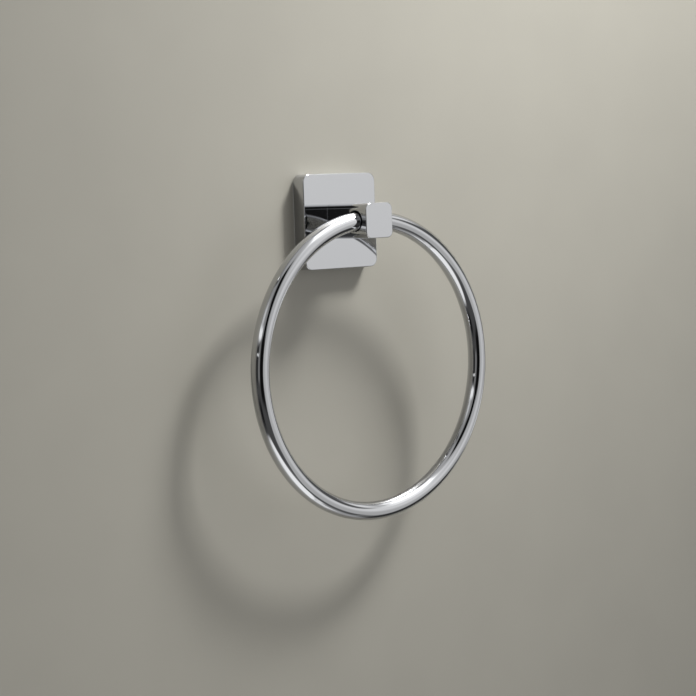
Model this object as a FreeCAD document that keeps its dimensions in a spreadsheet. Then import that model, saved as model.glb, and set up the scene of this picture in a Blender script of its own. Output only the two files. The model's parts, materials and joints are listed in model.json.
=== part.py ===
import FreeCAD, Part
import math
import os
import re
import Sketcher
from FreeCAD import Vector

# Towel ring for a wall, in millimetres: a hoop of round bar swings in a square post that
# stands on a square cover. X is across, the wall is the plane Y = 0 with the room on its
# -Y side, and Z is up. The origin is the centre of the cover's back, on the wall.

SIZES = {
    # hoop
    "ringOuter": 168,
    "barDiameter": 10,
    "ringEndGap": 0.6,
    # post
    "postSide": 19,
    "postCorner": 3.5,
    "postRim": 0.4,
    "postBaseBreak": 0.25,
    "postProjection": 40,
    "pivotDistance": 31,
    "socketClearance": 0.65,
    "socketWeb": 3,
    "socketBreak": 0.2,
    "spigotSide": 12,
    "spigotCorner": 1.5,
    "spigotShortfall": 0.2,
    "tapDepth": 12,
    # cover
    "rosetteSide": 52,
    "rosetteDepth": 8.5,
    "rosetteCorner": 4.5,
    "rosetteRim": 0.5,
    "rosetteWall": 2,
    "rosetteFront": 2.5,
    "windowClearance": 0.1,
    "bossWidth": 9,
    "bossHeight": 3,
    "innerSetback": 0.5,
    "hookWidth": 20,
    "hookReach": 3.2,
    "hookClearance": 0.15,
    # washer and screw that hold the post on the cover
    "washerOuter": 18,
    "washerThickness": 1.2,
    "washerClearance": 0.25,
    "screwDiameter": 5,
    "screwLength": 10,
    "screwHead": 9.5,
    "screwHeadHeight": 2.75,
    "screwHeadDome": 5.25,
    "screwHex": 3,
    "screwHexDepth": 1.6,
    "screwEndBreak": 0.6,
    "threadClearance": 0.05,
    # set screw that locks the cover on the bracket
    "grubDiameter": 4,
    "grubLength": 6,
    "grubTip": 0.6,
    "grubHex": 2,
    "grubHexDepth": 2,
    "grubRecess": 0.5,
    "grubDepth": 2.6,
    "grubTipClearance": 0.05,
    # bracket on the wall
    "bracketThickness": 1.5,
    "bracketWidth": 26,
    "bracketCorner": 2,
    "flangeLength": 5.5,
    "flangeAngle": 45,
    "bendRadius": 1,
    "wallHole": 4.6,
    "wallHoleSpacing": 24,
}

# Lengths that several pieces share, worked out from the driving dimensions.
RING_MEAN = "((ringOuter - barDiameter) / 2)"
RING_END = "(socketWeb / 2 + ringEndGap)"
SAG_AT_MOUTH = f"({RING_MEAN} - sqrt({RING_MEAN}^2 - (postSide / 2)^2))"
SAG_AT_END = f"({RING_MEAN} - sqrt({RING_MEAN}^2 - {RING_END}^2))"
RING_DROP = f"({RING_MEAN} - ({SAG_AT_MOUTH} + {SAG_AT_END}) / 2)"
CAVITY_HALF = "(rosetteSide / 2 - rosetteWall)"
CAVITY_DEPTH = "(rosetteDepth - rosetteFront)"
SPIGOT_BACK = f"({CAVITY_DEPTH} + spigotShortfall)"
HEAD_SEAT = f"({CAVITY_DEPTH} - washerThickness)"
HEAD_TOP = f"({HEAD_SEAT} - screwHeadHeight)"
GRUB_END = "(rosetteSide / 2 - grubRecess)"
TIP_EDGE = "(grubDepth + grubTip / 2)"
TIP_RISE = f"((grubTipClearance + {TIP_EDGE} * cos(flangeAngle)) / sin(flangeAngle))"
FLAT_HALF = f"({GRUB_END} - grubLength - {TIP_RISE})"

NEAR = 1e-4  # how close two places are to count as the same

doc = FreeCAD.newDocument("TowelRing")
sheet = doc.addObject("Spreadsheet::Sheet", "Sizes")
for row, (alias, number) in enumerate(SIZES.items(), start=1):
    sheet.set(f"A{row}", alias)
    sheet.set(f"B{row}", str(number))
    sheet.setAlias(f"B{row}", alias)
doc.recompute()


def bound(formula):
    """The formula with each driving dimension written as its cell of the sheet."""
    return re.sub(r"[A-Za-z]\w*", lambda word: f"Sizes.{word[0]}" if word[0] in SIZES else word[0], formula)


def value(formula):
    return float(sheet.evalExpression(bound(formula)))


def newBody(name):
    body = doc.addObject("PartDesign::Body", name)
    body.Label = name
    return body


def originPlane(body, role):
    return next(item for item in body.Origin.OriginFeatures if item.Role == role)


def newSketch(body, name, role, offset):
    """A sketch on one of the body's own origin planes, or parallel to it."""
    sketch = body.newObject("Sketcher::SketchObject", name)
    sketch.AttachmentSupport = [(originPlane(body, role), "")]
    sketch.MapMode = "FlatFace"
    sketch.setExpression(".AttachmentOffset.Base.z", bound(offset))
    return sketch


def dimension(sketch, formula, kind, *where):
    """A constraint of the sketch that takes its value from the sheet."""
    index = sketch.addConstraint(Sketcher.Constraint(kind, *where, value(formula)))
    sketch.setExpression(f"Constraints[{index}]", bound(formula))


def arcBetween(start, end, radius):
    """The shorter arc of this radius that turns left from start to end."""
    chord = end - start
    left = Vector(-chord.y, chord.x, 0).normalize()
    centre = (start + end) / 2 + left * math.sqrt(radius**2 - (chord.Length / 2) ** 2)
    circle = Part.Circle(centre, Vector(0, 0, 1), radius)
    begin, finish = (math.atan2(point.y - centre.y, point.x - centre.x) for point in (start, end))
    return Part.ArcOfCircle(circle, begin, finish)


def polygonSketch(body, name, role, corners, offset="0", arcRadius=None):
    """A closed outline through corners given as pairs of formulas. Its sides are straight, but
    for an arc from the last corner back to the first where a radius is given."""
    sketch = newSketch(body, name, role, offset)
    count = len(corners)
    places = [Vector(value(across), value(upward), 0) for across, upward in corners]
    for index in range(count - 1):
        sketch.addGeometry(Part.LineSegment(places[index], places[index + 1]), False)
    if arcRadius:
        sketch.addGeometry(arcBetween(places[-1], places[0], value(arcRadius)), False)
        dimension(sketch, arcRadius, "Radius", count - 1)
    else:
        sketch.addGeometry(Part.LineSegment(places[-1], places[0]), False)
    for index in range(count):
        sketch.addConstraint(Sketcher.Constraint("Coincident", index, 2, (index + 1) % count, 1))
    for index, (across, upward) in enumerate(corners):
        dimension(sketch, across, "DistanceX", index, 1)
        dimension(sketch, upward, "DistanceY", index, 1)
    return sketch


def squareSketch(body, name, side, radius, offset="0"):
    """A square with rounded corners, centred on the origin and parallel to the wall."""
    sketch = newSketch(body, name, "XZ_Plane", offset)
    half = value(side) / 2
    inner = half - value(radius)
    for turn in range(4):
        spin = FreeCAD.Rotation(Vector(0, 0, 1), 90 * turn)
        sideStart = spin.multVec(Vector(half, -inner, 0))
        sideEnd = spin.multVec(Vector(half, inner, 0))
        circle = Part.Circle(spin.multVec(Vector(inner, inner, 0)), Vector(0, 0, 1), value(radius))
        begin = math.radians(90 * turn)
        sketch.addGeometry(Part.LineSegment(sideStart, sideEnd), False)
        sketch.addGeometry(Part.ArcOfCircle(circle, begin, begin + math.pi / 2), False)
    for turn in range(4):
        line, arc, following = 2 * turn, 2 * turn + 1, (2 * turn + 2) % 8
        sketch.addConstraint(Sketcher.Constraint("Tangent", line, 2, arc, 1))
        sketch.addConstraint(Sketcher.Constraint("Tangent", arc, 2, following, 1))
    sketch.addConstraint(Sketcher.Constraint("Vertical", 4))
    sketch.addConstraint(Sketcher.Constraint("Horizontal", 6))
    for turn in range(1, 4):
        sketch.addConstraint(Sketcher.Constraint("Equal", 1, 2 * turn + 1))
    sketch.addConstraint(Sketcher.Constraint("Symmetric", 0, 1, 0, 2, -1))
    sketch.addConstraint(Sketcher.Constraint("Symmetric", 2, 1, 2, 2, -2))
    dimension(sketch, radius, "Radius", 1)
    dimension(sketch, f"({side}) / 2", "DistanceX", 0, 1)
    dimension(sketch, f"({side}) / 2", "DistanceY", 2, 1)
    return sketch


def circleSketch(body, name, role, circles, offset="0"):
    """Circles given as (radius, across, upward), each a formula."""
    sketch = newSketch(body, name, role, offset)
    for index, (radius, across, upward) in enumerate(circles):
        centre = Vector(value(across), value(upward), 0)
        sketch.addGeometry(Part.Circle(centre, Vector(0, 0, 1), value(radius)), False)
        dimension(sketch, radius, "Radius", index)
        dimension(sketch, across, "DistanceX", index, 3)
        dimension(sketch, upward, "DistanceY", index, 3)
    return sketch


def hexagonSketch(body, name, role, flats, centre, offset):
    """A hexagonal socket, its distance across the flats and its centre given as formulas."""
    radius = f"(({flats}) / (2 * cos(30)))"
    corners = [
        (f"({centre[0]}) + {radius} * cos({60 * turn})", f"({centre[1]}) + {radius} * sin({60 * turn})")
        for turn in range(6)
    ]
    return polygonSketch(body, name, role, corners, offset)


def pad(body, name, sketch, length, side="One side", backwards=False):
    """Material along the sketch's normal, against it where backwards, or to both sides."""
    feature = body.newObject("PartDesign::Pad", name)
    feature.Profile = sketch
    feature.SideType = side
    feature.Reversed = backwards
    feature.setExpression("Length", bound(length))
    doc.recompute()
    return feature


def pocket(body, name, sketch, length=None, along=True):
    """A cut along the sketch's normal, or against it; through all where no length is given."""
    before = body.Shape.Volume
    feature = body.newObject("PartDesign::Pocket", name)
    feature.Profile = sketch
    feature.Reversed = along
    if length is None:
        feature.Type = "ThroughAll"
    else:
        feature.setExpression("Length", bound(length))
    doc.recompute()
    if body.Shape.Volume > before - NEAR:
        raise RuntimeError(f"{name} cuts nothing")
    return feature


def dress(body, kind, name, amount, wanted):
    """A fillet or chamfer on each edge of the body whose points all pass the test."""
    tip = body.Tip
    edges = [
        f"Edge{index}"
        for index, edge in enumerate(tip.Shape.Edges, start=1)
        if all(wanted(point) for point in edge.discretize(5))
    ]
    if not edges:
        raise RuntimeError(f"{name} finds no edge")
    feature = body.newObject(f"PartDesign::{kind}", name)
    feature.Base = (tip, edges)
    feature.setExpression("Radius" if kind == "Fillet" else "Size", bound(amount))
    doc.recompute()
    return feature


def atDepth(depth):
    """A test for points at this distance in front of the wall."""
    place = -value(depth)
    return lambda point: abs(point.y - place) < NEAR


def atLine(depth, height):
    """A test for points on a level line: this far in front of the wall, this high or low."""
    return lambda point: abs(point.y + value(depth)) < NEAR and abs(abs(point.z) - value(height)) < NEAR


def slopeHeight(depth, clearance):
    """How high a slope runs that faces the back of a flange, at this distance from the wall."""
    return f"({FLAT_HALF} + ({clearance} + {depth} * cos(flangeAngle)) / sin(flangeAngle))"


def buildBracket():
    """A steel strip: its flat middle lies on the wall and its two ends are bent forwards."""
    body = newBody("wall_bracket")
    reach = "flangeLength * sin(flangeAngle)"
    rise = f"{FLAT_HALF} + flangeLength * cos(flangeAngle)"
    upper = [
        ("0", FLAT_HALF),
        (f"-{reach}", rise),
        (f"-{reach} - bracketThickness * cos(flangeAngle)", f"{rise} - bracketThickness * sin(flangeAngle)"),
        ("-bracketThickness", f"{FLAT_HALF} - bracketThickness * tan(flangeAngle / 2)"),
    ]
    lower = [(across, f"-({upward})") for across, upward in reversed(upper)]
    profile = polygonSketch(body, "StripProfile", "YZ_Plane", upper + lower)
    pad(body, "Strip", profile, "bracketWidth", side="Symmetric")
    dress(body, "Fillet", "BendOutside", "bendRadius + bracketThickness", atLine("0", FLAT_HALF))
    dress(body, "Fillet", "BendInside", "bendRadius", atLine("bracketThickness", upper[3][1]))
    across = value("bracketWidth / 2") - NEAR
    tipRise = value(upper[2][1]) - NEAR
    dress(body, "Fillet", "Corners", "bracketCorner", lambda at: abs(at.x) > across and abs(at.z) > tipRise)
    holes = [("wallHole / 2", "0", f"{sign}wallHoleSpacing / 2") for sign in ("", "-")]
    pocket(body, "ScrewHoles", circleSketch(body, "ScrewHoleCircles", "XZ_Plane", holes))
    return body


def buildRosette():
    """The cast cover: a shallow box open to the wall, with a hook, a boss and a window."""
    body = newBody("rosette")
    pad(body, "Block", squareSketch(body, "Outline", "rosetteSide", "rosetteCorner"), "rosetteDepth")
    dress(body, "Fillet", "FrontRim", "rosetteRim", atDepth("rosetteDepth"))
    inner = squareSketch(body, "CavityOutline", f"2 * {CAVITY_HALF}", "rosetteCorner - rosetteWall")
    pocket(body, "Cavity", inner, CAVITY_DEPTH)
    window = squareSketch(
        body, "WindowOutline", "spigotSide + 2 * windowClearance", "spigotCorner + windowClearance"
    )
    pocket(body, "PostWindow", window)
    embedded = f"{CAVITY_HALF} + rosetteWall / 2"
    hook = [
        ("-innerSetback", embedded),
        ("-innerSetback", slopeHeight("innerSetback", "hookClearance")),
        ("-hookReach", slopeHeight("hookReach", "hookClearance")),
        ("-hookReach", embedded),
    ]
    pad(body, "Hook", polygonSketch(body, "HookProfile", "YZ_Plane", hook), "hookWidth", side="Symmetric")
    boss = [
        ("-innerSetback", f"-({embedded})"),
        (f"-({CAVITY_DEPTH} + rosetteFront / 2)", f"-({embedded})"),
        (f"-({CAVITY_DEPTH} + rosetteFront / 2)", f"bossHeight - {CAVITY_HALF}"),
        ("-innerSetback", f"bossHeight - {CAVITY_HALF}"),
    ]
    pad(body, "Boss", polygonSketch(body, "BossProfile", "YZ_Plane", boss), "bossWidth", side="Symmetric")
    bore = [("grubDiameter / 2 + threadClearance", "0", "-grubDepth")]
    pocket(body, "GrubBore", circleSketch(body, "GrubBoreCircle", "XY_Plane", bore), along=False)
    return body


def buildPost():
    """The square casting that carries the hoop, with a square spigot in the cover's window."""
    body = newBody("post")
    outline = squareSketch(body, "Outline", "postSide", "postCorner", "rosetteDepth")
    pad(body, "Column", outline, "postProjection - rosetteDepth")
    dress(body, "Fillet", "EndRim", "postRim", atDepth("postProjection"))
    dress(body, "Chamfer", "BaseBreak", "postBaseBreak", atDepth("rosetteDepth"))
    spigot = squareSketch(body, "SpigotOutline", "spigotSide", "spigotCorner", "rosetteDepth")
    pad(body, "Spigot", spigot, f"rosetteDepth - {SPIGOT_BACK}", backwards=True)
    tapped = [("screwDiameter / 2 + threadClearance", "0", "0")]
    pocket(body, "TappedHole", circleSketch(body, "TapCircle", "XZ_Plane", tapped, SPIGOT_BACK), "tapDepth")
    mouth = [("barDiameter / 2 + socketClearance", "-pivotDistance", "0")]
    socketCircle = circleSketch(body, "SocketCircle", "YZ_Plane", mouth, "-socketWeb / 2")
    socket = pocket(body, "Socket", socketCircle, along=False)
    mirrored = body.newObject("PartDesign::Mirrored", "OtherSocket")
    mirrored.Originals = [socket]
    mirrored.MirrorPlane = (originPlane(body, "YZ_Plane"), [""])
    body.Tip = mirrored
    doc.recompute()
    pivot = Vector(0, -value("pivotDistance"), 0)
    reach = value("barDiameter / 2 + socketClearance") + NEAR
    side = value("postSide / 2") - NEAR
    dress(
        body, "Chamfer", "MouthBreak", "socketBreak",
        lambda at: abs(at.x) > side and math.hypot(at.y - pivot.y, at.z) < reach,
    )
    return body


def buildWasher():
    """The washer that spans the window behind the cover's front wall."""
    body = newBody("post_washer")
    rings = [("washerOuter / 2", "0", "0"), ("screwDiameter / 2 + washerClearance", "0", "0")]
    pad(body, "Disc", circleSketch(body, "Rings", "XZ_Plane", rings, HEAD_SEAT), "washerThickness")
    return body


def buildPostScrew():
    """A button-head socket screw from behind, turned about its axis, its thread left plain."""
    body = newBody("post_screw")
    shankEnd = f"({HEAD_SEAT} + screwLength)"
    domeFoot = "sqrt(screwHeadDome^2 - (screwHead / 2)^2)"
    outline = [
        (f"-{HEAD_SEAT}", "screwHead / 2"),
        (f"-{HEAD_SEAT}", "screwDiameter / 2"),
        (f"screwEndBreak - {shankEnd}", "screwDiameter / 2"),
        (f"-{shankEnd}", "screwDiameter / 2 - screwEndBreak"),
        (f"-{shankEnd}", "0"),
        (f"-{HEAD_TOP}", "0"),
        (f"-{HEAD_TOP}", f"sqrt(screwHeadDome^2 - ({domeFoot} + screwHeadHeight)^2)"),
    ]
    turned = body.newObject("PartDesign::Revolution", "Turned")
    turned.Profile = polygonSketch(body, "HalfSection", "YZ_Plane", outline, arcRadius="screwHeadDome")
    turned.ReferenceAxis = (turned.Profile[0], ["H_Axis"])
    doc.recompute()
    socket = hexagonSketch(body, "SocketHexagon", "XZ_Plane", "screwHex", ("0", "0"), HEAD_TOP)
    pocket(body, "HexSocket", socket, "screwHexDepth")
    return body


def buildGrubScrew():
    """The pointed set screw, from the cover's underside up against the lower flange."""
    body = newBody("grub_screw")
    barrel = [("grubDiameter / 2", "0", "-grubDepth")]
    foot = f"-{GRUB_END}"
    pad(body, "Barrel", circleSketch(body, "BarrelCircle", "XY_Plane", barrel, foot), "grubLength")
    top = value(f"{foot} + grubLength") - NEAR
    dress(body, "Chamfer", "Point", "(grubDiameter - grubTip) / 2", lambda at: at.z > top)
    socket = hexagonSketch(body, "SocketHexagon", "XY_Plane", "grubHex", ("0", "-grubDepth"), foot)
    pocket(body, "HexSocket", socket, "grubHexDepth")
    return body


def buildRing():
    """The open hoop, revolved about its own centre, which lies below the post's sockets."""
    body = newBody("ring")
    section = circleSketch(body, "BarSection", "YZ_Plane", [("barDiameter / 2", "0", f"-{RING_MEAN}")])
    hoop = body.newObject("PartDesign::Revolution", "Hoop")
    hoop.Profile = section
    hoop.ReferenceAxis = (section, ["H_Axis"])
    hoop.Midplane = True
    hoop.setExpression("Angle", bound(f"360 deg - 2 * asin({RING_END} / {RING_MEAN})"))
    body.setExpression(".Placement.Base.y", bound("-pivotDistance"))
    body.setExpression(".Placement.Base.z", bound(f"-{RING_DROP}"))
    doc.recompute()
    return body


def checkDocument(bodies):
    """Every object computed, and every piece one valid solid."""
    for item in doc.Objects:
        if "Invalid" in item.State or "Error" in item.State:
            raise RuntimeError(f"{item.Name} is {item.State}")
    for body in bodies:
        if body.Shape.isNull() or not body.Shape.isValid() or len(body.Shape.Solids) != 1:
            raise RuntimeError(f"{body.Label} is not one valid solid")


bodies = [
    buildBracket(),
    buildRosette(),
    buildPost(),
    buildWasher(),
    buildPostScrew(),
    buildGrubScrew(),
    buildRing(),
]
doc.recompute()
checkDocument(bodies)
os.makedirs("parts", exist_ok=True)
for body in bodies:
    body.Shape.exportStep(f"parts/{body.Label}.step")
    box = body.Shape.BoundBox
    print(
        f"{body.Label}: {body.Shape.Volume:.1f} mm3,"
        f" X {box.XMin:.2f} {box.XMax:.2f}, Y {box.YMin:.2f} {box.YMax:.2f}, Z {box.ZMin:.2f} {box.ZMax:.2f}"
    )
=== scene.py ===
import json
import math

import bmesh
import bpy
from mathutils import Matrix, Vector


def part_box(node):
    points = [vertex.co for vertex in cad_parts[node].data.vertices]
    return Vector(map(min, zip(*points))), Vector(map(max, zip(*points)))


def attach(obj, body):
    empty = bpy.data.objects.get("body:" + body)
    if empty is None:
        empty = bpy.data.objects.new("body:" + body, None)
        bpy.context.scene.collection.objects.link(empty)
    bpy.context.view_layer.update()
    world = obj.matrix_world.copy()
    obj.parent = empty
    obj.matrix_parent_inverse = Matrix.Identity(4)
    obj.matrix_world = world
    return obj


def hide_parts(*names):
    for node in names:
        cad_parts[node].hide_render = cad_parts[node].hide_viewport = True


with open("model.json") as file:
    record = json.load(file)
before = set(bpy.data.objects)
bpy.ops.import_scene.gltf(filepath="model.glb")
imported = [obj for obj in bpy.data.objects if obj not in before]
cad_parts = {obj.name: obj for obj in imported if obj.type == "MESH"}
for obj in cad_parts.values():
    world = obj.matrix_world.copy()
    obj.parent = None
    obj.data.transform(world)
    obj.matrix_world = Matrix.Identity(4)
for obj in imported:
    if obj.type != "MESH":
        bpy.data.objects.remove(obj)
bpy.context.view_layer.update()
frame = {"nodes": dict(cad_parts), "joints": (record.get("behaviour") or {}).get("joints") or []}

mm = 0.001
micron = 1e-6
scene = bpy.context.scene
nodes = frame["nodes"]
pivot = Vector(frame["joints"][0]["pos_m"])
print("frame loaded:", ", ".join(sorted(nodes)))


def hexToLinear(colour):
    # sRGB hex to the linear colour that shader sockets hold
    parts = [int(colour[at:at + 2], 16) / 255 for at in (1, 3, 5)]
    return [part / 12.92 if part <= 0.04045 else ((part + 0.055) / 1.055) ** 2.4 for part in parts] + [1]


def addNode(tree, kind, inputs=None, **settings):
    # one node with its settings; an input is a value or the socket that feeds it
    node = tree.nodes.new(kind)
    for name, setting in settings.items():
        setattr(node, name, setting)
    for name, source in (inputs or {}).items():
        if isinstance(source, bpy.types.NodeSocket):
            tree.links.new(source, node.inputs[name])
        else:
            node.inputs[name].default_value = source
    return node


def startMaterial(name):
    # an empty material, and the object coordinates that its patterns read
    material = bpy.data.materials.new(name)
    material.use_nodes = True
    tree = material.node_tree
    tree.nodes.clear()
    return material, tree, addNode(tree, "ShaderNodeTexCoord").outputs["Object"]


def calculate(tree, operation, *values):
    inputs = dict(enumerate(values))
    return addNode(tree, "ShaderNodeMath", inputs, operation=operation).outputs[0]


def spread(tree, value, low, high):
    # noise, which stays mostly between 0.3 and 0.7, spread from low to high
    inputs = {"Value": value, "From Min": 0.3, "From Max": 0.7, "To Min": low, "To Max": high}
    return addNode(tree, "ShaderNodeMapRange", inputs).outputs[0]


def blendValues(tree, share, first, second):
    return addNode(tree, "ShaderNodeMix", {0: share, 2: first, 3: second}, data_type="FLOAT").outputs[0]


def blendColours(tree, share, first, second):
    return addNode(tree, "ShaderNodeMix", {0: share, 6: first, 7: second}, data_type="RGBA").outputs[2]


# Chrome plate over polished zinc casting. Plate copies the skin under it: outside that is
# buffed to a mirror with the faint waves of a soft wheel, and inside the cover and the
# sockets, where no wheel reaches, it is the dull grain of the casting. Its darker colour
# there is partly that unbuffed skin and partly painted shade in the hollows and socket mouths.
chromeCasting = {
    "plate": "#C4C5C7",
    "plateRoughness": (0.02, 0.045),
    "buffingWave": 9 * mm,
    "buffingHeight": 0.8 * micron,
    # darker than the plate: partly the dull unbuffed skin, partly painted shade in the hollows and socket
    # mouths
    "castSkinAndShade": "#97989A",
    "castRoughness": (0.32, 0.5),
    "castGrain": 0.5 * mm,
    "castHeight": 14 * micron,
}


def makeChromeCasting(name, insideMask):
    look = chromeCasting
    material, tree, place = startMaterial(name)
    wave = addNode(
        tree, "ShaderNodeTexNoise",
        {"Vector": place, "Scale": 1 / look["buffingWave"], "Detail": 2.0, "Roughness": 0.4},
    ).outputs[0]
    grain = addNode(
        tree, "ShaderNodeTexNoise",
        {"Vector": place, "Scale": 1 / look["castGrain"], "Detail": 4.0, "Roughness": 0.6},
    ).outputs[0]
    inside = insideMask(tree, place)
    waves = addNode(tree, "ShaderNodeBump", {"Height": wave, "Distance": look["buffingHeight"]})
    skin = addNode(
        tree, "ShaderNodeBump",
        {"Height": grain, "Distance": look["castHeight"], "Strength": inside, "Normal": waves.outputs[0]},
    )
    polished = spread(tree, wave, *look["plateRoughness"])
    dull = spread(tree, grain, *look["castRoughness"])
    # the darker colour that the inside mask blends in is partly unbuffed cast skin and partly painted shade
    plate, castSkinAndShade = hexToLinear(look["plate"]), hexToLinear(look["castSkinAndShade"])
    shader = addNode(
        tree, "ShaderNodeBsdfPrincipled",
        {
            "Base Color": blendColours(tree, inside, plate, castSkinAndShade),
            "Metallic": 1.0,
            "Roughness": blendValues(tree, inside, polished, dull),
            "Normal": skin.outputs[0],
        },
    )
    addNode(tree, "ShaderNodeOutputMaterial", {"Surface": shader.outputs[0]})
    return material


coverInside = {"wall": 2 * mm, "front": 2.5 * mm, "margin": 0.05 * mm}


def insideCover(tree, place):
    # 1 in the cover's hollow and on the rim that bears on the wall, 0 on the outside
    low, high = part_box("rosette")
    parts = addNode(tree, "ShaderNodeSeparateXYZ", {0: place}).outputs
    across = calculate(tree, "ABSOLUTE", parts[0])
    upward = calculate(tree, "ABSOLUTE", parts[2])
    margin = coverInside["margin"]
    within = calculate(
        tree, "LESS_THAN",
        calculate(tree, "MAXIMUM", across, upward), high.x - coverInside["wall"] + margin,
    )
    behind = calculate(tree, "GREATER_THAN", parts[1], low.y + coverInside["front"] - margin)
    rim = calculate(tree, "GREATER_THAN", parts[1], high.y - margin)
    return calculate(tree, "MAXIMUM", calculate(tree, "MULTIPLY", within, behind), rim)


postInside = {"socketRadius": 5.65 * mm, "margin": 0.03 * mm}


def insidePost(tree, place):
    # 1 in the two sockets and behind the cover's front, 0 on the outside
    parts = addNode(tree, "ShaderNodeSeparateXYZ", {0: place}).outputs
    forward = calculate(tree, "SUBTRACT", parts[1], pivot.y)
    upward = calculate(tree, "SUBTRACT", parts[2], pivot.z)
    squares = [calculate(tree, "MULTIPLY", part, part) for part in (forward, upward)]
    reach = calculate(tree, "SQRT", calculate(tree, "ADD", *squares))
    socket = calculate(tree, "LESS_THAN", reach, postInside["socketRadius"] + postInside["margin"])
    spigot = calculate(tree, "GREATER_THAN", parts[1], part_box("rosette")[0].y + postInside["margin"])
    return calculate(tree, "MAXIMUM", socket, spigot)


# Chrome plate over ground and polished steel bar: a cleaner mirror than the casting's, with
# the long shallow waves that the bending rollers leave along the hoop.
chromeBar = {
    "plate": "#C5C6C8",
    "roughness": (0.015, 0.035),
    "rollerWave": 14 * mm,
    "rollerHeight": 0.8 * micron,
}


def makeChromeBar():
    look = chromeBar
    material, tree, place = startMaterial("chrome_plate_over_polished_bar")
    wave = addNode(
        tree, "ShaderNodeTexNoise",
        {"Vector": place, "Scale": 1 / look["rollerWave"], "Detail": 1.0, "Roughness": 0.4},
    ).outputs[0]
    waves = addNode(tree, "ShaderNodeBump", {"Height": wave, "Distance": look["rollerHeight"]})
    shader = addNode(
        tree, "ShaderNodeBsdfPrincipled",
        {
            "Base Color": hexToLinear(look["plate"]),
            "Metallic": 1.0,
            "Roughness": spread(tree, wave, *look["roughness"]),
            "Normal": waves.outputs[0],
        },
    )
    addNode(tree, "ShaderNodeOutputMaterial", {"Surface": shader.outputs[0]})
    return material


# Zinc plate over pressed steel strip: satin, with the fine lines of the rolling mill along
# the strip and the faint blue and straw clouds of a clear passivate.
zincStrip = {
    "blue": "#AEB6C0",
    "straw": "#C2BFB2",
    "cloud": 7 * mm,
    "roughness": (0.28, 0.42),
    "millLine": 0.12 * mm,
    "lineLength": 6 * mm,
    "lineHeight": 3 * micron,
}


def makeZincStrip():
    look = zincStrip
    material, tree, place = startMaterial("zinc_plate_over_rolled_strip")
    cloud = addNode(
        tree, "ShaderNodeTexNoise",
        {"Vector": place, "Scale": 1 / look["cloud"], "Detail": 3.0, "Roughness": 0.55},
    ).outputs[0]
    stretched = addNode(
        tree, "ShaderNodeMapping",
        {"Vector": place, "Scale": (1 / look["millLine"], 1 / look["lineLength"], 1 / look["lineLength"])},
    )
    lines = addNode(
        tree, "ShaderNodeTexNoise", {"Vector": stretched.outputs[0], "Scale": 1.0, "Detail": 2.0}
    ).outputs[0]
    bump = addNode(tree, "ShaderNodeBump", {"Height": lines, "Distance": look["lineHeight"]})
    tint = spread(tree, cloud, 0.0, 1.0)
    shader = addNode(
        tree, "ShaderNodeBsdfPrincipled",
        {
            "Base Color": blendColours(tree, tint, hexToLinear(look["blue"]), hexToLinear(look["straw"])),
            "Metallic": 1.0,
            "Roughness": spread(tree, lines, *look["roughness"]),
            "Normal": bump.outputs[0],
        },
    )
    addNode(tree, "ShaderNodeOutputMaterial", {"Surface": shader.outputs[0]})
    return material


# Plain stainless steel, turned: fine tool rings about the piece's own axis.
turnedSteel = {
    "steel": "#A8A6A1",
    "dark": "#8E8D8A",
    "roughness": (0.2, 0.34),
    "toolRing": 0.22 * mm,  # coarser than the real feed, so that it shows
    "ringHeight": 2 * micron,
    "stain": 3 * mm,
}


def makeTurnedSteel(name, axis, centre):
    look = turnedSteel
    material, tree, place = startMaterial(name)
    centred = addNode(tree, "ShaderNodeMapping", {"Vector": place, "Location": -Vector(centre)})
    # the wave's rings lie about one axis, and its scale of 1 makes a ring each 0.314 m
    rings = addNode(
        tree, "ShaderNodeTexWave",
        {"Vector": centred.outputs[0], "Scale": 0.314 / look["toolRing"], "Distortion": 0.6, "Detail": 1.0},
        wave_type="RINGS", rings_direction=axis,
    ).outputs["Fac"]
    stain = addNode(
        tree, "ShaderNodeTexNoise", {"Vector": place, "Scale": 1 / look["stain"], "Detail": 3.0}
    ).outputs[0]
    bump = addNode(tree, "ShaderNodeBump", {"Height": rings, "Distance": look["ringHeight"]})
    tint = spread(tree, stain, 0.0, 1.0)
    shader = addNode(
        tree, "ShaderNodeBsdfPrincipled",
        {
            "Base Color": blendColours(tree, tint, hexToLinear(look["steel"]), hexToLinear(look["dark"])),
            "Metallic": 1.0,
            "Roughness": spread(tree, stain, *look["roughness"]),
            "Normal": bump.outputs[0],
        },
    )
    addNode(tree, "ShaderNodeOutputMaterial", {"Surface": shader.outputs[0]})
    return material


shading = {"sharpAngle": 25}  # degrees between two faces, past which their edge stays crisp


def addPiece(name, bm, material, body, node):
    # a finished piece: its place is in its mesh, it rides on a body and stands for a CAD node
    bmesh.ops.recalc_face_normals(bm, faces=bm.faces)
    for face in bm.faces:
        face.smooth = True
    for edge in bm.edges:
        edge.smooth = edge.is_manifold and edge.calc_face_angle() < math.radians(shading["sharpAngle"])
    openEdges = sum(not edge.is_manifold for edge in bm.edges)
    print(name, "has", len(bm.faces), "faces and", openEdges, "open edges")
    mesh = bpy.data.meshes.new(name)
    bm.to_mesh(mesh)
    bm.free()
    mesh.materials.append(material)
    piece = bpy.data.objects.new(name, mesh)
    scene.collection.objects.link(piece)
    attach(piece, body)
    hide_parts(node)
    return piece


# The hoop, finer than the frame's so that its mirror stays clean from close by.
hoop = {
    "outerDiameter": 168 * mm,
    "barDiameter": 10 * mm,
    "drop": 78.7 * mm,  # the hoop's centre below the pivot
    "halfGap": 2.1 * mm,  # from the middle of the post to each end of the bar
    "endBreak": 0.4 * mm,
    "endBreakSteps": 2,
    "stepsRound": 64,
    "stepsAlong": 320,
}


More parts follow.
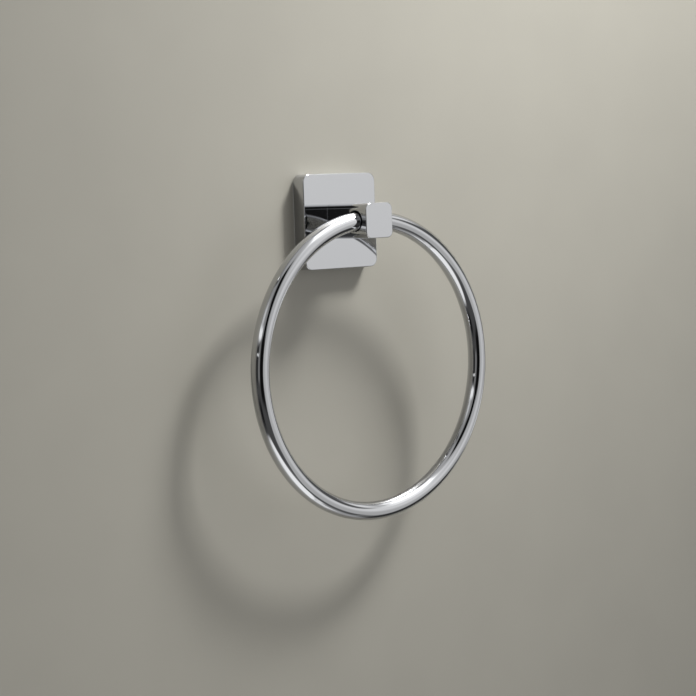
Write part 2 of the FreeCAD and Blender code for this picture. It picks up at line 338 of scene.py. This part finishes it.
def makeHoop():
    meanRadius = (hoop["outerDiameter"] - hoop["barDiameter"]) / 2
    centre = pivot - Vector((0, 0, hoop["drop"]))
    gapAngle = math.asin(hoop["halfGap"] / meanRadius)
    bm = bmesh.new()
    section = bmesh.ops.create_circle(bm, segments=hoop["stepsRound"], radius=hoop["barDiameter"] / 2)
    toHoop = (
        Matrix.Translation(centre)
        @ Matrix.Rotation(gapAngle, 4, "Y")
        @ Matrix.Translation((0, 0, meanRadius))
        @ Matrix.Rotation(math.pi / 2, 4, "Y")
    )
    bmesh.ops.transform(bm, matrix=toHoop, verts=section["verts"])
    bmesh.ops.spin(
        bm, geom=bm.verts[:] + bm.edges[:], cent=centre, axis=(0, 1, 0),
        angle=2 * (math.pi - gapAngle), steps=hoop["stepsAlong"],
    )
    rims = [edge for edge in bm.edges if edge.is_boundary]
    bmesh.ops.holes_fill(bm, edges=rims)
    bmesh.ops.bevel(
        bm, geom=rims, offset=hoop["endBreak"], offset_type="OFFSET", segments=hoop["endBreakSteps"],
        profile=0.5, affect="EDGES", material=-1,
    )
    return bm


# The two screws with their real threads, of the coarse metric series. Each is made along +Z,
# its drive at the foot, and then turned into place. The thread's form is in pitches.
threadForm = {"depth": 0.54, "rootFlat": 0.25, "crestFlat": 0.125, "runIn": 1.3}
screwSteps = {"round": 36, "dome": 8}
postScrew = {
    "diameter": 5 * mm,
    "pitch": 0.8 * mm,
    "length": 10 * mm,
    "tipDiameter": 3.8 * mm,
    "headDiameter": 9.5 * mm,
    "headHeight": 2.75 * mm,
    "domeRadius": 5.25 * mm,
    "hexagon": 3 * mm,
    "hexagonDepth": 1.6 * mm,
    "hexagonLip": 0.1 * mm,  # the flat ring left between the dome and the socket's corners
}
grubScrew = {
    "diameter": 4 * mm,
    "pitch": 0.7 * mm,
    "length": 6 * mm,
    "tipDiameter": 0.6 * mm,
    "hexagon": 2 * mm,
    "hexagonDepth": 2 * mm,
}


def rimAt(bm, height):
    # the open edges that lie at one height
    return [
        edge for edge in bm.edges
        if edge.is_boundary and all(abs(vert.co.z - height) < micron for vert in edge.verts)
    ]


def makeThread(bm, screw):
    # a helical thread from 0 to the screw's length, its ends drawn in to the root and the tip
    pitch = screw["pitch"]
    crest = screw["diameter"] / 2
    root = crest - threadForm["depth"] * pitch
    flank = (1 - threadForm["rootFlat"] - threadForm["crestFlat"]) / 2
    start = -threadForm["runIn"]  # below the foot, so that the cut there is whole
    rise = start + threadForm["rootFlat"]
    section = [(root, start), (root, rise), (crest, rise + flank)]
    section += [(crest, start + 1 - flank), (root, start + 1)]
    verts = [bm.verts.new((radius, 0, height * pitch)) for radius, height in section]
    edges = [bm.edges.new(pair) for pair in zip(verts, verts[1:])]
    turns = math.ceil(screw["length"] / pitch) + 2
    steps = screwSteps["round"]
    bmesh.ops.spin(
        bm, geom=verts + edges, cent=(0, 0, 0), axis=(0, 0, 1), dvec=(0, 0, pitch / steps),
        angle=turns * 2 * math.pi, steps=turns * steps,
    )
    bmesh.ops.remove_doubles(bm, verts=bm.verts, dist=micron)
    for height, isFoot in ((0, True), (screw["length"], False)):
        bmesh.ops.bisect_plane(
            bm, geom=bm.verts[:] + bm.edges[:] + bm.faces[:], dist=micron / 10,
            plane_co=(0, 0, height), plane_no=(0, 0, 1), clear_inner=isFoot, clear_outer=not isFoot,
        )
    for vert in bm.verts:
        reach = math.hypot(vert.co.x, vert.co.y)
        most = min(root + vert.co.z, screw["tipDiameter"] / 2 + screw["length"] - vert.co.z)
        if reach > most:
            vert.co.x *= most / reach
            vert.co.y *= most / reach
    bmesh.ops.holes_fill(bm, edges=rimAt(bm, screw["length"]))


def makeHexagonSocket(bm, screw, rim, foot):
    # a hexagon inside an open rim at the foot, sunk to its depth and closed
    hexagon = bmesh.ops.create_circle(
        bm, segments=6, radius=screw["hexagon"] / math.sqrt(3), matrix=Matrix.Translation((0, 0, foot))
    )["verts"]
    sides = list({edge for vert in hexagon for edge in vert.link_edges})
    bmesh.ops.subdivide_edges(bm, edges=sides, cuts=screwSteps["round"] // 6 - 1)  # as many as the rim
    mouth = [edge for edge in bm.edges if edge.is_wire]
    bmesh.ops.bridge_loops(bm, edges=rim + mouth)
    walls = bmesh.ops.extrude_edge_only(bm, edges=mouth)["geom"]
    bottom = [item for item in walls if isinstance(item, bmesh.types.BMVert)]
    bmesh.ops.translate(bm, vec=(0, 0, screw["hexagonDepth"]), verts=bottom)
    bmesh.ops.holes_fill(bm, edges=[item for item in walls if isinstance(item, bmesh.types.BMEdge)])


def makePostScrew():
    screw = postScrew
    bm = bmesh.new()
    makeThread(bm, screw)
    shankRim = rimAt(bm, 0)
    headRadius = screw["headDiameter"] / 2
    domeCentre = math.sqrt(screw["domeRadius"] ** 2 - headRadius ** 2)
    lipRadius = screw["hexagon"] / math.sqrt(3) + screw["hexagonLip"]
    sweep = math.atan2(headRadius, domeCentre) - math.asin(lipRadius / screw["domeRadius"])
    before = set(bm.edges)
    edgePoint = bm.verts.new((headRadius, 0, 0))
    bmesh.ops.spin(
        bm, geom=[edgePoint], cent=(0, 0, domeCentre), axis=(0, 1, 0), angle=sweep,
        steps=screwSteps["dome"],
    )
    arc = [edge for edge in bm.edges if edge not in before]
    arcVerts = list({vert for edge in arc for vert in edge.verts})
    lipHeight = min(vert.co.z for vert in arcVerts)
    bmesh.ops.spin(
        bm, geom=arcVerts + arc, cent=(0, 0, 0), axis=(0, 0, 1), angle=2 * math.pi,
        steps=screwSteps["round"], use_merge=True,
    )
    headRim = [edge for edge in rimAt(bm, 0) if edge not in shankRim]
    bmesh.ops.bridge_loops(bm, edges=shankRim + headRim)
    makeHexagonSocket(bm, screw, rimAt(bm, lipHeight), -screw["headHeight"])
    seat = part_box("post_washer")[1].y
    turn = Matrix.Translation((0, seat, 0)) @ Matrix.Rotation(math.pi / 2, 4, "X")
    bmesh.ops.transform(bm, matrix=turn, verts=bm.verts)
    return bm


def makeGrubScrew():
    bm = bmesh.new()
    makeThread(bm, grubScrew)
    makeHexagonSocket(bm, grubScrew, rimAt(bm, 0), 0)
    low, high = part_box("grub_screw")
    bmesh.ops.translate(bm, vec=((low.x + high.x) / 2, (low.y + high.y) / 2, low.z), verts=bm.verts)
    return bm


chrome = makeChromeBar()
addPiece("towel_hoop", makeHoop(), chrome, "hoop", "ring")
nodes["rosette"].data.materials[0] = makeChromeCasting("chrome_plate_over_cast_cover", insideCover)
nodes["post"].data.materials[0] = makeChromeCasting("chrome_plate_over_cast_post", insidePost)
nodes["wall_bracket"].data.materials[0] = makeZincStrip()
acrossSteel = makeTurnedSteel("turned_stainless_steel_across", "Y", (0, 0, 0))
nodes["post_washer"].data.materials[0] = acrossSteel
addPiece("threaded_post_screw", makePostScrew(), acrossSteel, "base", "post_screw")
grubCentre = sum(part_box("grub_screw"), Vector()) / 2
uprightSteel = makeTurnedSteel("turned_stainless_steel_upright", "Z", grubCentre)
addPiece("threaded_grub_screw", makeGrubScrew(), uprightSteel, "base", "grub_screw")
print("materials made")


# Studio. The wall is plain satin plaster, seen from the room's side only, so that the back can
# be looked at too. It is open behind the cover, where the cover hides the opening.
stageWall = {
    "colour": "#9B988E",
    "roughness": 0.4,
    "size": 7.0,
    "gap": 0.3 * mm,  # behind the cover's rim
    "overlap": 0.2 * mm,  # how far the cover's rim reaches over the opening's
    "openingCorner": 4.3 * mm,
    "cornerSteps": 6,
    "cloud": 60 * mm,
    "cloudShade": 0.96,
}
stageFloor = {"colour": "#DDDBD6", "height": -0.62, "size": 16.0}


def addStage(name, bm, material):
    mesh = bpy.data.meshes.new(name)
    bm.to_mesh(mesh)
    bm.free()
    mesh.materials.append(material)
    piece = bpy.data.objects.new(name, mesh)
    scene.collection.objects.link(piece)
    return piece


def makeWall():
    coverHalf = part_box("rosette")[1].x
    bm = bmesh.new()
    bmesh.ops.create_grid(bm, x_segments=1, y_segments=1, size=stageWall["size"] / 2)
    rim = stageWall["size"] / 2 - coverHalf + stageWall["overlap"]
    bmesh.ops.inset_region(bm, faces=bm.faces[:], thickness=rim, use_boundary=True, use_even_offset=True)
    centre = min(bm.faces, key=lambda face: face.calc_area())
    corners = centre.verts[:]
    bmesh.ops.delete(bm, geom=[centre], context="FACES_ONLY")
    bmesh.ops.bevel(
        bm, geom=corners, offset=stageWall["openingCorner"], offset_type="OFFSET",
        segments=stageWall["cornerSteps"], profile=0.5, affect="VERTICES", material=-1,
    )
    turn = Matrix.Translation((0, stageWall["gap"], 0)) @ Matrix.Rotation(math.pi / 2, 4, "X")
    bmesh.ops.transform(bm, matrix=turn, verts=bm.verts)
    return bm


def makeWallPaint():
    material, tree, place = startMaterial("stage_satin_plaster")
    cloud = addNode(
        tree, "ShaderNodeTexNoise", {"Vector": place, "Scale": 1 / stageWall["cloud"]}
    ).outputs[0]
    colour = hexToLinear(stageWall["colour"])
    darker = [part * stageWall["cloudShade"] for part in colour[:3]] + [1]
    paint = addNode(
        tree, "ShaderNodeBsdfPrincipled",
        {
            "Base Color": blendColours(tree, spread(tree, cloud, 0.0, 1.0), colour, darker),
            "Roughness": stageWall["roughness"],
        },
    )
    clear = addNode(tree, "ShaderNodeBsdfTransparent")
    fromBehind = addNode(tree, "ShaderNodeNewGeometry").outputs["Backfacing"]
    oneSided = addNode(
        tree, "ShaderNodeMixShader", {0: fromBehind, 1: paint.outputs[0], 2: clear.outputs[0]}
    )
    addNode(tree, "ShaderNodeOutputMaterial", {"Surface": oneSided.outputs[0]})
    return material


def makeFloor():
    bm = bmesh.new()
    bmesh.ops.create_grid(bm, x_segments=1, y_segments=1, size=stageFloor["size"] / 2)
    bmesh.ops.translate(bm, vec=(0, 0, stageFloor["height"]), verts=bm.verts)
    return bm


def makeFloorPaint():
    material, tree, _ = startMaterial("stage_pale_floor")
    paint = addNode(tree, "ShaderNodeBsdfDiffuse", {"Color": hexToLinear(stageFloor["colour"])})
    addNode(tree, "ShaderNodeOutputMaterial", {"Surface": paint.outputs[0]})
    return material


addStage("stage_wall", makeWall(), makeWallPaint())
floor = addStage("stage_floor", makeFloor(), makeFloorPaint())
# the floor is there for the camera alone, because the chrome mirrors the surround's own boxes
floor.visible_diffuse = False
floor.visible_glossy = False
floor.visible_shadow = False

# Soft boxes and flags round the object, as its chrome sees them: azimuth from the room's side
# towards +X and elevation, in degrees, how soft the edges are, the light, and how far a box
# leans, in degrees of elevation for each degree of azimuth. Later ones cover earlier ones.
softBoxes = {
    "upperLeft": ((-180, -38), (28, 57), 8, 0.39, 0),
    "leftBeam": ((-105, -50), (53, 57.5), 2, 0.13, 0),
    "leftGlow": ((-88, -62), (25, 40), 6, 0.78, 0),
    "leftStrip": ((-98, -52), (18, 26), 2.5, 1.3, -0.13),
    "leftShade": ((-95, -30), (-14, 15.5), 2.5, 0.04, 0),
    "leftGrey": ((-64, -45), (-8, 16), 4, 0.26, 0),
    "ceilingGlow": ((-60, 30), (56, 100), 9, 0.55, 0),
    "paleRoom": ((-8, 62), (-36, 72), 8, 0.65, 0),
    "paleRise": ((3, 30), (22, 46), 8, 0.9, 0),
    "paleEdge": ((6, 18), (36, 70), 6, 1.07, 0),
    "paleMiddle": ((22, 56), (-5, 42), 10, 1.0, 0),
    "paleFoot": ((4, 60), (-38, -16), 6, 0.61, 0),
    "footShade": ((4, 52), (-57, -39), 3, 0.13, 0),
    "lowShade": ((-100, 2), (-42, -8), 4, 0.09, 0),
    "lowShadeEnd": ((-4, 11), (-42, -23), 4, 0.13, 0),
    "lowFlag": ((-84, -58), (-34, -18), 6, 0.013, 0),
    "doorFoot": ((-42, -4), (-16, 10), 5, 0.013, 0),
    "doorShade": ((-46, -20), (32, 52), 4, 0.1, 0),
    "doorFlag": ((-37, -13), (-14, 53), 4, 0.007, 0),
    "window": ((13, 66), (42, 72), 4, 2.08, 0),
    "windowFoot": ((20, 52), (34, 44), 4, 1.75, 0),
    "windowSill": ((27, 45), (22, 36), 4, 1.43, 0),
    "rightWindow": ((62, 140), (48, 77), 5, 1.49, 0.1),
    "rightFill": ((56, 140), (26, 46), 4, 0.55, 0),
    "windowSide": ((52, 72), (42, 52), 3, 1.55, 0),
    "rightGlow": ((58, 80), (26, 36), 3, 1.1, 0),
    "rightFlag": ((50, 104), (9, 24), 4, 0.12, 0),
    "rightStrip": ((50, 84), (-4, 6), 2.5, 0.82, -0.4),
    "rightShade": ((82, 140), (-6, 10), 3, 0.05, 0),
    "lowStrip": ((58, 140), (-18, -7), 3, 0.59, 0),
    "lowStripFar": ((79, 120), (-15.5, -7.5), 2.5, 1.15, 0.13),
    "lowRight": ((60, 140), (-57, -21), 4, 0.05, 0),
    "ceiling": ((30, 140), (78, 100), 5, 0.47, 0),
    "floorLeft": ((-130, -66), (-110, -42), 4, 0.72, 0),
    "floorEdge": ((-78, -56), (-110, -42), 4, 1.17, 0),
    "floorGlow": ((-60, 12), (-110, -46), 4, 1.37, -0.18),
    "floorMiddle": ((12, 25), (-110, -57), 5, 1.05, 0),
    "floorSide": ((27, 180), (-110, -59), 6, 0.48, 0),
    "floorFoot": ((22, 62), (-110, -69), 4, 1.1, 0),
    "floorFar": ((40, 140), (-110, -78), 3, 0.91, 0),
    "lampOne": ((-83, -81), (8.6, 10.4), 0.6, 2.6, 0),
    "lampTwo": ((-77, -75), (8.6, 10.4), 0.6, 2.6, 0),
    "lampThree": ((-70, -68), (8.0, 9.8), 0.6, 2.6, 0),
    "lampFour": ((-63.5, -61.5), (7.6, 9.4), 0.6, 2.6, 0),
    "ceilingLamp": ((-98, -88), (57.4, 59.4), 0.6, 8.0, 0),
}
surround = {
    "base": 0.34,  # the light where no box lies
    "behind": 0.9,  # the light on the far side of the wall
    "behindFull": 0.2,  # it is full from where a direction's part along +Y is this
    "seen": 0.62,  # the plain light that the camera itself sees round the stage
}


def between(tree, value, ends, soft):
    # 1 between the two ends, falling smoothly to 0 past each
    share = None
    for at, sign in zip(ends, (1, -1)):
        inputs = {
            "Value": value,
            "From Min": math.radians(at - sign * soft),
            "From Max": math.radians(at + sign * soft),
        }
        side = addNode(tree, "ShaderNodeMapRange", inputs, interpolation_type="SMOOTHSTEP").outputs[0]
        share = side if share is None else calculate(tree, "MULTIPLY", share, side)
    return share


def makeSurround():
    world = bpy.data.worlds.new("studio")
    world.use_nodes = True
    tree = world.node_tree
    tree.nodes.clear()
    toward = addNode(tree, "ShaderNodeTexCoord").outputs["Generated"]
    parts = addNode(tree, "ShaderNodeSeparateXYZ", {0: toward}).outputs
    azimuth = calculate(tree, "ARCTAN2", parts[0], calculate(tree, "MULTIPLY", parts[1], -1.0))
    elevation = calculate(tree, "ARCSINE", parts[2])
    light = surround["base"]
    for across, upward, soft, strength, lean in softBoxes.values():
        height = elevation
        if lean:
            middle = math.radians(sum(across) / 2)
            drop = calculate(tree, "MULTIPLY_ADD", azimuth, -lean, lean * middle)
            height = calculate(tree, "ADD", elevation, drop)
        sides = between(tree, azimuth, across, soft), between(tree, height, upward, soft)
        light = blendValues(tree, calculate(tree, "MULTIPLY", *sides), light, strength)
    fromBehind = addNode(
        tree, "ShaderNodeMapRange",
        {"Value": parts[1], "From Min": 0.0, "From Max": surround["behindFull"]},
    ).outputs[0]
    light = blendValues(tree, fromBehind, light, surround["behind"])
    painted = addNode(tree, "ShaderNodeBackground", {"Strength": light})
    plain = addNode(tree, "ShaderNodeBackground", {"Strength": surround["seen"]})
    for background in (painted, plain):
        background.inputs["Color"].default_value = (1, 1, 1, 1)
    seen = addNode(tree, "ShaderNodeLightPath").outputs["Is Camera Ray"]
    both = addNode(tree, "ShaderNodeMixShader", {0: seen, 1: painted.outputs[0], 2: plain.outputs[0]})
    addNode(tree, "ShaderNodeOutputWorld", {"Surface": both.outputs[0]})
    return world


scene.world = makeSurround()

# The key light throws the hoop's soft shadow down to its left, as in the photograph. It is a
# far soft box with a grid, aimed above and right of the object, so that the wall fades away
# from there.
keyLight = {
    "azimuth": 56,
    "elevation": 55,
    "distance": 1.6,
    "side": 0.55,
    "aim": (0.33, 0, 0.55),
    "spread": 33,  # the whole angle of its beam, in degrees
    "power": 4.8,
}


def aimed(azimuth, elevation):
    # the unit direction from the object towards a light or the camera
    turn, rise = math.radians(azimuth), math.radians(elevation)
    return Vector((math.sin(turn) * math.cos(rise), -math.cos(turn) * math.cos(rise), math.sin(rise)))


lamp = bpy.data.lights.new("key", "AREA")
lamp.shape = "SQUARE"
lamp.size = keyLight["side"]
lamp.spread = math.radians(keyLight["spread"])
lamp.energy = keyLight["power"]
key = bpy.data.objects.new("key", lamp)
key.location = pivot + aimed(keyLight["azimuth"], keyLight["elevation"]) * keyLight["distance"]
key.rotation_mode = "QUATERNION"
key.rotation_quaternion = (key.location - Vector(keyLight["aim"])).to_track_quat("Z", "Y")
scene.collection.objects.link(key)
print("studio made")

# The camera stands where the photograph's did: its direction, distance and aim come from the
# edges of the cover, the post and the hoop.
view = {
    "azimuth": -41.315,
    "elevation": 4.142,
    "roll": -2.035,
    "distance": 1180.6 * mm,
    "aim": (-16.87 * mm, -30 * mm, -67.9 * mm),
    "focal": 2196.4,  # in pixels of the photograph
    "frame": 696,
    "sensor": 36.0,
    "nearest": 0.05,
    "farthest": 40.0,
}
toCamera = aimed(view["azimuth"], view["elevation"])
cameraData = bpy.data.cameras.new("camera")
cameraData.sensor_width = view["sensor"]
cameraData.lens = view["sensor"] * view["focal"] / view["frame"]
cameraData.clip_start = view["nearest"]
cameraData.clip_end = view["farthest"]
camera = bpy.data.objects.new("camera", cameraData)
camera.location = Vector(view["aim"]) + toCamera * view["distance"]
camera.rotation_mode = "QUATERNION"
level = toCamera.to_track_quat("Z", "Y")
camera.rotation_quaternion = level @ Matrix.Rotation(math.radians(view["roll"]), 3, "Z").to_quaternion()
scene.collection.objects.link(camera)
scene.camera = camera
scene.view_settings.view_transform = "Standard"

print("scene ready")
